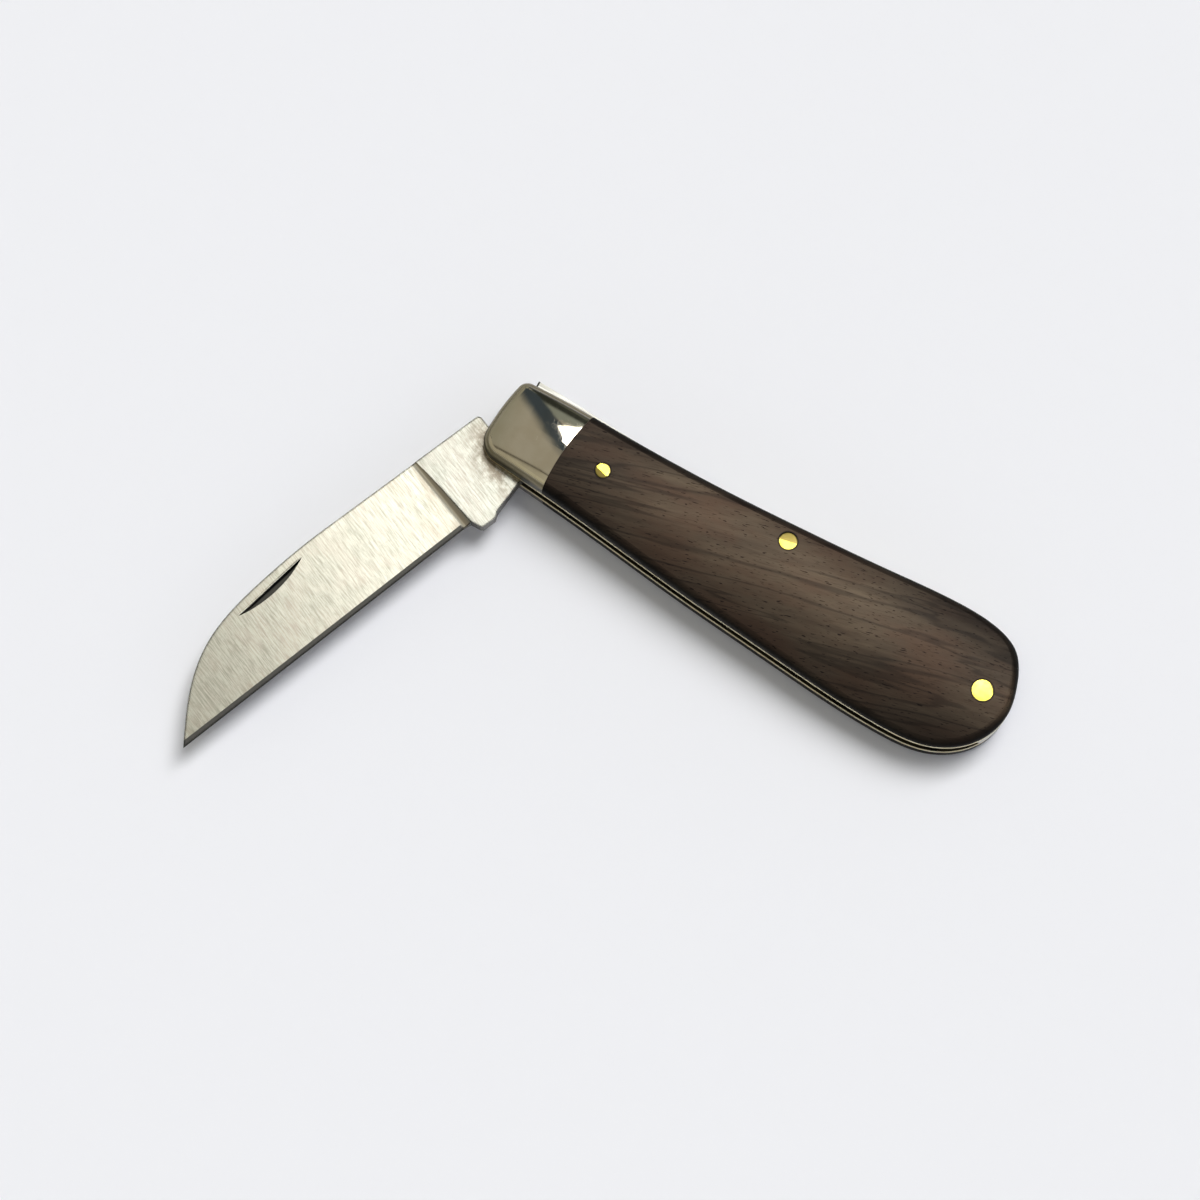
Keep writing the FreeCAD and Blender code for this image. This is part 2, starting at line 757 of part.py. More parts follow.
NODES = [
    "blade", "backspring", "mark_side_liner", "pile_side_liner", "mark_side_bolster", "pile_side_bolster",
    "mark_side_scale", "pile_side_scale", "pivot_pin", "spring_middle_pin", "spring_end_pin",
    "mark_side_scale_pin", "pile_side_scale_pin", "mark_side_bolster_rivets", "pile_side_bolster_rivets",
]

for thing in doc.Objects:
    if "Invalid" in thing.State or "Error" in thing.State:
        raise ValueError("%s failed: %s" % (thing.Label, thing.State))
for label in NODES:
    piece = doc.getObjectsByLabel(label)[0]
    if piece.Shape.isNull() or not piece.Shape.isValid():
        raise ValueError(label + " has no valid shape")
for label in NODES:
    piece = doc.getObjectsByLabel(label)[0]
    piece.Shape.exportStep("parts/%s.step" % label)
    print(label, "%.1f mm3" % piece.Shape.Volume, len(piece.Shape.Solids), "solids")
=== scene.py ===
import bmesh
import bpy
import json
import math
import numpy
from mathutils import Matrix, Vector


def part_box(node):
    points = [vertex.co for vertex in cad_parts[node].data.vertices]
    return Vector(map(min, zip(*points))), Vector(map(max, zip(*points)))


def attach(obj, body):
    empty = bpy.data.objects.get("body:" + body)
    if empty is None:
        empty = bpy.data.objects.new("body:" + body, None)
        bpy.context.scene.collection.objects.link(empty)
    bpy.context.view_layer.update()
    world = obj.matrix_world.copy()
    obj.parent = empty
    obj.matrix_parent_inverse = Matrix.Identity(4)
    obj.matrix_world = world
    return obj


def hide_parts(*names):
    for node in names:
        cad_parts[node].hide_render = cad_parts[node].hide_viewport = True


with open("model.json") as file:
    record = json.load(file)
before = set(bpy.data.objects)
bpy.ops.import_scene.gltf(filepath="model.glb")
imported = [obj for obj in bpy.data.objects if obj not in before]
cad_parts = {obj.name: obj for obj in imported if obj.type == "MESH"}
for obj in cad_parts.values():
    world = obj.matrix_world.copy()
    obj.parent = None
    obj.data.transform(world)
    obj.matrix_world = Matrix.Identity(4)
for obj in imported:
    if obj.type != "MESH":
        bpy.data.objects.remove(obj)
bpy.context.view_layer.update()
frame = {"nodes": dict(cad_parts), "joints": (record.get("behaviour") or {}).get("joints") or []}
nodes = frame["nodes"]
pivot = Vector(frame["joints"][0]["pos_m"])
mm = 0.001
sameSpot = 0.001 * mm                      # points closer than this count as one
print("frame loaded:", len(nodes), "nodes")

# Small helpers for node trees


def addNode(tree, kind, inputs=None, **settings):
    made = tree.nodes.new(kind)
    for name, value in settings.items():
        setattr(made, name, value)
    for name, value in (inputs or {}).items():
        if isinstance(value, bpy.types.NodeSocket):
            tree.links.new(value, made.inputs[name])
        else:
            made.inputs[name].default_value = value
    return made


def calc(tree, operation, first, second=0.0):
    return addNode(tree, "ShaderNodeMath", {0: first, 1: second}, operation=operation).outputs[0]


def vectorCalc(tree, operation, first, second=(0, 0, 0)):
    inputs = {0: first, 1: second}
    return addNode(tree, "ShaderNodeVectorMath", inputs, operation=operation).outputs["Value"]


def axisParts(tree, vector):
    return addNode(tree, "ShaderNodeSeparateXYZ", {0: vector}).outputs


def ramp(tree, value, low, high, start=0.0, end=1.0):
    # smooth step from start to end while value goes from low to high
    inputs = {"Value": value, "From Min": low, "From Max": high, "To Min": start, "To Max": end}
    return addNode(tree, "ShaderNodeMapRange", inputs, interpolation_type="SMOOTHSTEP").outputs["Result"]


def between(tree, value, rise, fade):
    # 1 where value is past its rise and short of its fade
    return calc(tree, "MULTIPLY", ramp(tree, value, *rise), ramp(tree, value, *fade))


def allOf(tree, masks):
    both = masks[0]
    for mask in masks[1:]:
        both = calc(tree, "MULTIPLY", both, mask)
    return both


def mixColour(tree, factor, first, second, blend="MIX"):
    inputs = {0: factor, 6: first, 7: second}      # the numbers of the node's colour sockets
    return addNode(tree, "ShaderNodeMix", inputs, data_type="RGBA", blend_type=blend).outputs[2]


def darken(tree, factor, tone, shade):
    return mixColour(tree, factor, tone, shade, blend="MULTIPLY")


def stretched(tree, turn=0.0, centre=(0, 0, 0), stretch=(1, 1, 1)):
    # object coordinates about a centre, turned about Z and then stretched
    place = addNode(tree, "ShaderNodeTexCoord").outputs["Object"]
    inputs = {"Vector": place, "Location": Vector(centre), "Rotation": (0, 0, turn)}
    local = addNode(tree, "ShaderNodeMapping", inputs, vector_type="TEXTURE").outputs[0]
    return addNode(tree, "ShaderNodeMapping", {"Vector": local, "Scale": stretch}).outputs[0]


def noise(tree, vector, scale, detail=2.0, roughness=0.5, distortion=0.0):
    inputs = {"Vector": vector, "Scale": scale, "Detail": detail}
    inputs.update({"Roughness": roughness, "Distortion": distortion})
    return addNode(tree, "ShaderNodeTexNoise", inputs).outputs["Fac"]


def grain(tree, stretch, turn=0.0, centre=(0, 0, 0), **pattern):
    # noise drawn out along a direction
    return noise(tree, stretched(tree, turn, centre, stretch), 1.0, **pattern)


def facingParts(tree):
    return axisParts(tree, addNode(tree, "ShaderNodeTexCoord").outputs["Normal"])


def lean(tree):
    # 1 where a face lies level, 0 where it stands upright
    return calc(tree, "ABSOLUTE", facingParts(tree)["Z"])


def newFinish(name, metallic):
    finish = bpy.data.materials.new(name)
    finish.use_nodes = True
    tree = finish.node_tree
    shader = tree.nodes["Principled BSDF"]
    shader.inputs["Metallic"].default_value = metallic
    return finish, tree, shader


def paint(tree, shader, tone, rough):
    tree.links.new(tone, shader.inputs["Base Color"])
    tree.links.new(rough, shader.inputs["Roughness"])


def addBump(tree, shader, height, depth):
    bump = addNode(tree, "ShaderNodeBump", {"Height": height, "Distance": depth, "Strength": 1.0})
    tree.links.new(bump.outputs[0], shader.inputs["Normal"])


def dress(nodeName, finish):
    nodes[nodeName].data.materials.clear()
    nodes[nodeName].data.materials.append(finish)


def addPiece(name, shape, finish, standsFor, sharpAngle=math.radians(40)):
    mesh = bpy.data.meshes.new(name)
    shape.to_mesh(mesh)
    shape.free()
    mesh.materials.append(finish)
    mesh.shade_smooth()
    mesh.set_sharp_from_angle(angle=sharpAngle)
    piece = bpy.data.objects.new(name, mesh)
    bpy.context.scene.collection.objects.link(piece)
    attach(piece, "handle")
    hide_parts(standsFor)


# In the dictionaries below, a Span is where in its pattern a tone starts and where it is full, and
# a Share how much of it is laid on there. A Lean is such a span in how level a face lies, and a
# Reach one in distance.

# Blade: stainless steel, ground across its width

blade = {
    "turn": math.radians(-113.4),          # where the blade points at rest, about the pivot
    "pale": (0.575, 0.56, 0.475, 1),
    "warm": (0.465, 0.418, 0.348, 1),
    "dull": (0.385, 0.372, 0.306, 1),
    "clouds": 260,
    "cloudSpan": (0.38, 0.62),
    "lines": (4200, 320, 1),               # grind lines to the metre, along the blade and across it
    "lineSpan": (0.34, 0.62),
    "lineDepth": 0.010 * mm,
    "scores": (1500, 90, 1),               # longer, deeper ones
    "scoreSpan": (0.58, 0.72),
    "scoreShare": 0.45,
    "specks": 2200,
    "speckSpan": (0.56, 0.72),
    "speckShare": 0.3,
    "roughSpan": (0.2, 0.8),
    "rough": (0.46, 0.34),
    "tipShade": (0.60, 0.60, 0.585, 1),
    "tipReach": (22 * mm, 66 * mm),        # from the pivot
    "heelAt": 15.6 * mm,                   # where the ground face starts, from the pivot
    "tangTone": (0.88, 0.90, 0.93, 1),
    "tangReach": (1.0 * mm, -1.0 * mm),    # this and the next four are from the heel
    "beigeReach": ((0.0, 0.9 * mm), (7.4 * mm, 0.9 * mm)),
    "footReach": ((-0.2 * mm, 0.0), (2.0 * mm, -0.6 * mm)),
    "plungeReach": ((-1.2 * mm, -0.8 * mm), (4.0 * mm, 3.0 * mm)),
    "bevelReach": (0.0, 0.4 * mm),
    "beige": (0.385, 0.33, 0.26, 1),
    "haze": (420, 150, 1),
    "hazeSpan": (0.42, 0.66),
    "hazeShare": 0.7,
    "foot": (0.33, 0.295, 0.235, 1),       # painted shade on the ground face beside the plunge
    "footShare": (0.45, 0.95),
    # painted light in the plunge's hollow
    "plunge": (0.72, 0.66, 0.55, 1),
    "plungeLean": (0.997, 0.955),
    "plungeTop": (0.40, 0.345, 0.27, 1),   # painted shade where its hollow meets the ricasso
    "plungeTopLean": (0.975, 0.90),
    "grimeAndShade": (0.19, 0.16, 0.12, 1),
    "grimeReach": (11.4 * mm, 6.2 * mm),   # from the pivot
    "smudges": 480,
    "smudgeSpan": (0.34, 0.62),
    "bevel": (0.12, 0.115, 0.10, 1),
    "bevelAt": 3.532 * mm,                 # where the bevel starts across the blade, at the pivot
    "bevelSlope": 0.02519,
    "bevelEase": (-0.02 * mm, 0.02 * mm),
    "nick": (0.15, 0.145, 0.13, 1),
    "nickDeep": (0.008, 0.008, 0.008, 1),
    "nickRough": 0.8,
    "nickAlong": (36.8 * mm, 52.0 * mm),
    "nickAcross": -2.8 * mm,
    "nickWallAt": -10.376 * mm,            # the nick's straight side across the blade, at the pivot
    "nickWallSlope": 0.105,
    "nickWallEase": -0.10 * mm,
    "nickArcReach": (0.25 * mm, 0.50 * mm),
    "nickLean": (0.99, 0.97),
    "nickBelow": 0.66 * mm,                # over the blade's middle; the face beside the nick is higher
    "side": (0.13, 0.125, 0.11, 1),
    "sideLean": (0.6, 0.3),
    "corner": (0.030, 0.030, 0.028, 1),
    "cornerWear": 0.55 * mm,
    "cornerSpan": (0.985, 0.94),
}


def offLine(tree, along, across, lineAt, slope):
    # how far across the blade a point lies from a line that slopes along it
    straight = calc(tree, "SUBTRACT", across, calc(tree, "MULTIPLY", along, slope))
    return calc(tree, "SUBTRACT", straight, lineAt)


def makeBladeSteel():
    finish, tree, shader = newFinish("bladeSteel", 1.0)
    turn = blade["turn"]
    local = stretched(tree, turn, pivot)
    along, across, height = axisParts(tree, local)
    fromHeel = calc(tree, "SUBTRACT", along, blade["heelAt"])
    level = lean(tree)

    # the ground steel
    lines = grain(tree, blade["lines"], turn, pivot, detail=3.0, roughness=0.65)
    scores = grain(tree, blade["scores"], turn, pivot, roughness=0.6)
    clouds = noise(tree, local, blade["clouds"], detail=5.0, roughness=0.55)
    specks = noise(tree, local, blade["specks"])
    scored = ramp(tree, scores, *blade["scoreSpan"], end=blade["scoreShare"])
    specked = ramp(tree, specks, *blade["speckSpan"], end=blade["speckShare"])
    tone = mixColour(tree, ramp(tree, clouds, *blade["cloudSpan"]), blade["dull"], blade["warm"])
    tone = mixColour(tree, ramp(tree, lines, *blade["lineSpan"]), tone, blade["pale"])
    tone = mixColour(tree, scored, tone, blade["dull"])
    tone = mixColour(tree, specked, tone, blade["dull"])
    # painted shade: the blade is painted darker towards its tip
    tone = darken(tree, ramp(tree, along, *blade["tipReach"]), tone, blade["tipShade"])
    tone = darken(tree, ramp(tree, fromHeel, *blade["tangReach"]), tone, blade["tangTone"])

    # a beige haze beside the plunge, which is polished less; then painted shade on the ground face beside
    # the plunge, and painted light and shade in its hollow
    haze = ramp(tree, grain(tree, blade["haze"], turn, pivot, detail=4.0), *blade["hazeSpan"])
    hazy = allOf(tree, [haze, between(tree, fromHeel, *blade["beigeReach"]), blade["hazeShare"]])
    tone = mixColour(tree, hazy, tone, blade["beige"])
    footShade = ramp(tree, haze, 0.0, 1.0, *blade["footShare"])
    byFoot = calc(tree, "MULTIPLY", between(tree, fromHeel, *blade["footReach"]), footShade)
    tone = mixColour(tree, byFoot, tone, blade["foot"])
    towardsTop = ramp(tree, level, *blade["plungeTopLean"])
    plungeTone = mixColour(tree, towardsTop, blade["plunge"], blade["plungeTop"])
    byPlunge = between(tree, fromHeel, *blade["plungeReach"])
    onPlunge = calc(tree, "MULTIPLY", byPlunge, ramp(tree, level, *blade["plungeLean"]))
    tone = mixColour(tree, onPlunge, tone, plungeTone)

    # brown smudges where the tang runs into the bolsters
    near = ramp(tree, vectorCalc(tree, "LENGTH", local), *blade["grimeReach"])
    smudges = noise(tree, local, blade["smudges"], detail=6.0, roughness=0.65)
    smudged = calc(tree, "MULTIPLY", near, ramp(tree, smudges, *blade["smudgeSpan"]))
    tone = mixColour(tree, smudged, tone, blade["grimeAndShade"])

    # painted shade: the cutting bevel, the nail nick, darkest by its straight side, and the upright sides
    # are painted darker
    pastBevel = offLine(tree, along, across, blade["bevelAt"], blade["bevelSlope"])
    pastHeel = ramp(tree, fromHeel, *blade["bevelReach"])
    onBevel = calc(tree, "MULTIPLY", ramp(tree, pastBevel, *blade["bevelEase"]), pastHeel)
    tone = mixColour(tree, onBevel, tone, blade["bevel"])
    pastWall = offLine(tree, along, across, blade["nickWallAt"], blade["nickWallSlope"])
    nickLeft, nickRight = blade["nickAlong"]
    byNick = allOf(tree, [
        calc(tree, "GREATER_THAN", along, nickLeft),
        calc(tree, "LESS_THAN", along, nickRight),
        calc(tree, "GREATER_THAN", pastWall, blade["nickWallEase"]),
        calc(tree, "LESS_THAN", across, blade["nickAcross"]),
        calc(tree, "GREATER_THAN", height, 0.0),
    ])
    below = calc(tree, "LESS_THAN", height, blade["nickBelow"])
    sunk = calc(tree, "MAXIMUM", ramp(tree, level, *blade["nickLean"]), below)
    inNick = calc(tree, "MULTIPLY", byNick, sunk)
    towardsArc = ramp(tree, pastWall, *blade["nickArcReach"])
    tone = mixColour(tree, inNick, tone, mixColour(tree, towardsArc, blade["nickDeep"], blade["nick"]))
    tone = mixColour(tree, ramp(tree, level, *blade["sideLean"]), tone, blade["side"])

    # painted shade: a thin dark line along the corners
    eased = addNode(tree, "ShaderNodeBevel", {"Radius": blade["cornerWear"]}, samples=6).outputs["Normal"]
    square = addNode(tree, "ShaderNodeNewGeometry").outputs["Normal"]
    alike = vectorCalc(tree, "DOT_PRODUCT", eased, square)
    offNick = calc(tree, "SUBTRACT", 1.0, byNick)
    corner = calc(tree, "MULTIPLY", ramp(tree, alike, *blade["cornerSpan"]), offNick)
    tone = mixColour(tree, corner, tone, blade["corner"])

    rough = ramp(tree, lines, *blade["roughSpan"], *blade["rough"])
    rough = calc(tree, "MAXIMUM", rough, calc(tree, "MULTIPLY", inNick, blade["nickRough"]))
    paint(tree, shader, tone, rough)
    addBump(tree, shader, calc(tree, "ADD", lines, scores), blade["lineDepth"])
    return finish


dress("blade", makeBladeSteel())
print("blade dressed")

# Backspring and rivets: plainer steel, polished along its length

spring = {
    "bright": (0.68, 0.67, 0.62, 1),
    "worn": (0.50, 0.49, 0.445, 1),
    "lines": (160, 5500, 5500),
    "lineSpan": (0.3, 0.7),
    "noseShade": (0.035, 0.033, 0.03, 1),    # painted shade on the corner of its nose
    "noseReach": (0.32 * mm, 0.20 * mm),
    "noseLean": (0.5, 0.8),
    "roughSpan": (0.2, 0.8),
    "rough": (0.60, 0.48),
}


def makeSpringSteel():
    finish, tree, shader = newFinish("springSteel", 1.0)
    lines = grain(tree, spring["lines"], detail=3.0)
    tone = mixColour(tree, ramp(tree, lines, *spring["lineSpan"]), spring["worn"], spring["bright"])
    fromNose = axisParts(tree, stretched(tree, centre=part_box("backspring")[0]))["X"]
    byNose = ramp(tree, fromNose, *spring["noseReach"])
    onNose = calc(tree, "MULTIPLY", byNose, ramp(tree, lean(tree), *spring["noseLean"]))
    tone = mixColour(tree, onNose, tone, spring["noseShade"])
    paint(tree, shader, tone, ramp(tree, lines, *spring["roughSpan"], *spring["rough"]))
    return finish


springSteel = makeSpringSteel()
for name in ("backspring", "mark_side_bolster_rivets", "pile_side_bolster_rivets"):
    dress(name, springSteel)
print("backspring dressed")

# Bolsters: polished nickel silver

bolster = {
    "clean": (0.75, 0.69, 0.57, 1),
    "tarnish": (0.70, 0.63, 0.50, 1),
    "clouds": 260,
    "cloudSpan": (0.35, 0.7),
    "scratches": (3500, 500, 3500),
    "scratchTurn": math.radians(20),
    "round": (0.235, 0.205, 0.135, 1),     # painted shade darkens its rounded rim and its upright sides; the rim is also rougher
    "roundLean": (0.95, 0.78),
    "roundRough": 0.30,
    "roundRoughLean": (0.96, 0.86),
    "side": (0.14, 0.13, 0.105, 1),
    "sideLean": (0.60, 0.30),
    "roughSpan": (0.3, 0.7),
    "rough": (0.02, 0.06),
}


def makeNickelSilver():
    finish, tree, shader = newFinish("nickelSilver", 1.0)
    clouds = noise(tree, stretched(tree), bolster["clouds"], detail=4.0)
    scratches = grain(tree, bolster["scratches"], bolster["scratchTurn"])
    level = lean(tree)
    tone = mixColour(tree, ramp(tree, clouds, *bolster["cloudSpan"]), bolster["clean"], bolster["tarnish"])
    tone = mixColour(tree, ramp(tree, level, *bolster["roundLean"]), tone, bolster["round"])
    tone = mixColour(tree, ramp(tree, level, *bolster["sideLean"]), tone, bolster["side"])
    blurred = calc(tree, "DIVIDE", calc(tree, "ADD", clouds, scratches), 2)
    rough = ramp(tree, blurred, *bolster["roughSpan"], *bolster["rough"])
    roundRough = ramp(tree, level, *bolster["roundRoughLean"], end=bolster["roundRough"])
    paint(tree, shader, tone, calc(tree, "MAXIMUM", rough, roundRough))
    return finish


nickelSilver = makeNickelSilver()
for name in ("mark_side_bolster", "pile_side_bolster"):
    dress(name, nickelSilver)
print("bolsters dressed")

# Liners: brass sheet, its edge rubbed round where it shows

liner = {
    "edgeRound": 0.11 * mm,
    "flatAngle": math.radians(0.5),        # faces that turn by less than this are made one
    "sharpAngle": math.radians(60),
    "shadeAngle": math.radians(20),
    "bright": (0.95, 0.87, 0.60, 1),
    "dull": (0.80, 0.70, 0.44, 1),
    "clouds": 400,
    "cloudSpan": (0.35, 0.65),
    "grimeAndShade": (0.09, 0.075, 0.05, 1),       # painted shade on the flats inside the slot
    "slotShadeLean": (0.92, 0.99),
    "roughSpan": (0.3, 0.7),
    "rough": (0.38, 0.26),
}


def makeLinerBrass():
    finish, tree, shader = newFinish("linerBrass", 1.0)
    clouds = noise(tree, stretched(tree), liner["clouds"], detail=4.0)
    tone = mixColour(tree, ramp(tree, clouds, *liner["cloudSpan"]), liner["dull"], liner["bright"])
    tone = mixColour(tree, ramp(tree, lean(tree), *liner["slotShadeLean"]), tone, liner["grimeAndShade"])
    paint(tree, shader, tone, ramp(tree, clouds, *liner["roughSpan"], *liner["rough"]))
    return finish


def makeLiner(nodeName, finish):
    shape = bmesh.new()
    shape.from_mesh(nodes[nodeName].data)
    bmesh.ops.remove_doubles(shape, verts=shape.verts, dist=sameSpot)
    bmesh.ops.dissolve_limit(shape, angle_limit=liner["flatAngle"], verts=shape.verts, edges=shape.edges)
    rims = [edge for edge in shape.edges if edge.calc_face_angle(0.0) > liner["sharpAngle"]]
    rims = [edge for edge in rims if abs(edge.verts[0].co.z - edge.verts[1].co.z) < sameSpot]
    bmesh.ops.bevel(shape, geom=rims, offset=liner["edgeRound"], segments=2, profile=0.5,
                    affect="EDGES", material=-1, clamp_overlap=True)
    addPiece(nodeName + "_rubbed", shape, finish, nodeName, liner["shadeAngle"])


linerBrass = makeLinerBrass()
for name in ("mark_side_liner", "pile_side_liner"):
    makeLiner(name, linerBrass)
print("liners made")

# Pins, finished to the crowned side; the brass ones stand a hair proud of the wood

pin = {
    "dome": 0.035 * mm,
    "rimRound": 0.05 * mm,
    "acrossCrown": 38 * mm,                # radius of the handle's crown across it
    "frontFall": 80 * mm,                  # and of its fall at the front
    "pivotGrow": 0.02 * mm,                # the pivot pin is spread into its hole, so that no ring shows
    # heads are peened a little out of true: how far each stands proud, its tilt,
    # and the direction, start and slope of a filed facet
    "heads": {
        "mark_side_scale_pin": (0.09 * mm, (0.060, 0.054), (-1.85, 0.30 * mm, 0.34)),
        "spring_middle_pin": (0.08 * mm, (-0.0105, -0.0446), (1.76, -0.13 * mm, 0.18)),
        "spring_end_pin": (0.035 * mm, (0.0, 0.0), None),
    },
    "steps": 64,
    "rings": 10,
    "bright": (0.84, 0.70, 0.11, 1),
    "dull": (0.76, 0.60, 0.10, 1),
    "clouds": 900,
    "cloudSpan": (0.35, 0.7),
    # painted shade where the head's faces lean, as on its filed facet
    "facet": (0.50, 0.39, 0.11, 1),
    "facetLean": (0.983, 0.972),
    "roughSpan": (0.3, 0.7),
    "rough": (0.36, 0.46),
}


def makePinBrass():
    finish, tree, shader = newFinish("pinBrass", 1.0)
    clouds = noise(tree, stretched(tree), pin["clouds"], detail=4.0)
    tone = mixColour(tree, ramp(tree, clouds, *pin["cloudSpan"]), pin["bright"], pin["dull"])
    tone = mixColour(tree, ramp(tree, lean(tree), *pin["facetLean"]), tone, pin["facet"])
    paint(tree, shader, tone, ramp(tree, clouds, *pin["roughSpan"], *pin["rough"]))
    return finish


def headPlane(nodeName, centre):
    # slopes of the solid pin's head along X and Y, and its height in the middle
    head = [point.co - centre for point in nodes[nodeName].data.vertices if point.co.z > centre.z]
    places = [(spot.x, spot.y, 1.0) for spot in head]
    heights = [spot.z for spot in head]
    slopeX, slopeY, height = numpy.linalg.lstsq(places, heights, rcond=None)[0]
    return slopeX, slopeY, centre.z + height


def makePin(nodeName, finish, slotName, proud=0.0, tilt=(0, 0), facet=None,
            rimRound=0.0, grow=0.0, frontFall=0.0):
    low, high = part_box(nodeName)
    centre = (low + high) / 2
    radius = (high.x - low.x) / 2 + grow
    slopeX, slopeY, rimHeight = headPlane(nodeName, centre)
    dome = min(proud, pin["dome"])
    rimHeight += proud - dome
    profile = [(0, low.z), (radius, low.z)]
    if rimRound:
        profile.append((radius, rimHeight - rimRound))
    for ring in range(pin["rings"], -1, -1):
        share = ring / pin["rings"]
        profile.append(((radius - rimRound) * share, rimHeight + dome * (1 - share ** 2)))
    shape = bmesh.new()
    verts = [shape.verts.new((centre.x + reach, centre.y, height)) for reach, height in profile]
    edges = [shape.edges.new(pair) for pair in zip(verts, verts[1:])]
    bmesh.ops.spin(shape, geom=verts + edges, cent=(centre.x, centre.y, 0), axis=(0, 0, 1),
                   angle=math.tau, steps=pin["steps"], use_merge=True)
    bmesh.ops.remove_doubles(shape, verts=shape.verts, dist=sameSpot)
    for point in shape.verts:
        if point.co.z > centre.z:
            x, y = point.co.x - centre.x, point.co.y - centre.y
            bow = (radius ** 2 / 2 - y ** 2) / pin["acrossCrown"] / 2
            if frontFall:
                bow += (radius ** 2 / 2 - x ** 2) / frontFall / 2
            point.co.z += (slopeX - tilt[0]) * x + (slopeY - tilt[1]) * y + bow
            if facet:
                way, start, fall = facet
                point.co.z -= fall * max(0.0, x * math.cos(way) + y * math.sin(way) - start)
    bmesh.ops.recalc_face_normals(shape, faces=shape.faces)
    addPiece(nodeName + "_headed", shape, finish, nodeName)


pinBrass = makePinBrass()
for name, head in pin["heads"].items():
    makePin(name, pinBrass, "pin_brass", *head, rimRound=pin["rimRound"])
dress("pile_side_scale_pin", pinBrass)
makePin("pivot_pin", nickelSilver, "nickel_silver", grow=pin["pivotGrow"], frontFall=pin["frontFall"])
print("pins made")

# Scales: oiled dark hardwood, its grain a little askew to the handle

wood = {
    "grainTurn": math.radians(13),
    "light": (0.205, 0.152, 0.100, 1),
    "mid": (0.114, 0.083, 0.056, 1),
    "dim": (0.057, 0.039, 0.028, 1),
    "dark": (0.018, 0.014, 0.012, 1),
    "rust": (0.132, 0.078, 0.050, 1),
    "pore": (0.030, 0.019, 0.014, 1),
    "bands": (32, 190, 190),
    "bandSpan": (0.20, 0.74),
    "streaks": (110, 1000, 1000),
    "streakSpan": (0.35, 0.65),
    "streakShare": 0.5,
    "rustPatches": (60, 170, 170),
    "rustSpan": (0.38, 0.64),
    "rustShare": 0.75,
    "fibres": (450, 5200, 5200),
    "fibreSpan": (0.52, 0.75),
    "fibreShare": 0.40,
    "veins": (13, 230, 230),
    "veinMiddle": 0.5,                     # a vein runs where its noise has this value
    "veinSpan": (0.030, 0.003),
    "veinShare": 0.45,
    "pores": (1000, 6400, 6400),
    "poreSpan": (0.72, 0.77),
    "grainDepth": 0.012 * mm,
    "ringReach": 0.3 * mm,                 # painted shadow in a ring round the pins
    "sideShade": (0.26, 0.26, 0.28, 1),         # painted shade: the sides are darker than the middle, which carries a painted sheen
    "sheenBelly": (-0.25, 0.09),          # spans in how far a face turns towards the back
    "sheenBack": (0.32, 0.06),
    "frontDark": (0.50, 0.50, 0.52, 1),
    "frontReach": (-6 * mm, -32 * mm),
    "buttDark": (0.72, 0.72, 0.73, 1),
    "buttReach": (18 * mm, 41 * mm),
    "shoulder": (0.62, 0.63, 0.62, 1),
    "shoulderLean": (0.985, 0.90),
    "edge": (0.30, 0.33, 0.29, 1),
    "edgeLean": (0.90, 0.55),
    "roughSpan": (0.3, 0.7),
    "rough": (0.36, 0.48),
    "gloss": 0.05,
}


def pinShadow(tree, nodeName):
    low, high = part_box(nodeName)
    radius = (high.x - low.x) / 2
    flat = stretched(tree, centre=(low + high) / 2, stretch=(1, 1, 0))
    return ramp(tree, vectorCalc(tree, "LENGTH", flat), radius + wood["ringReach"], radius)


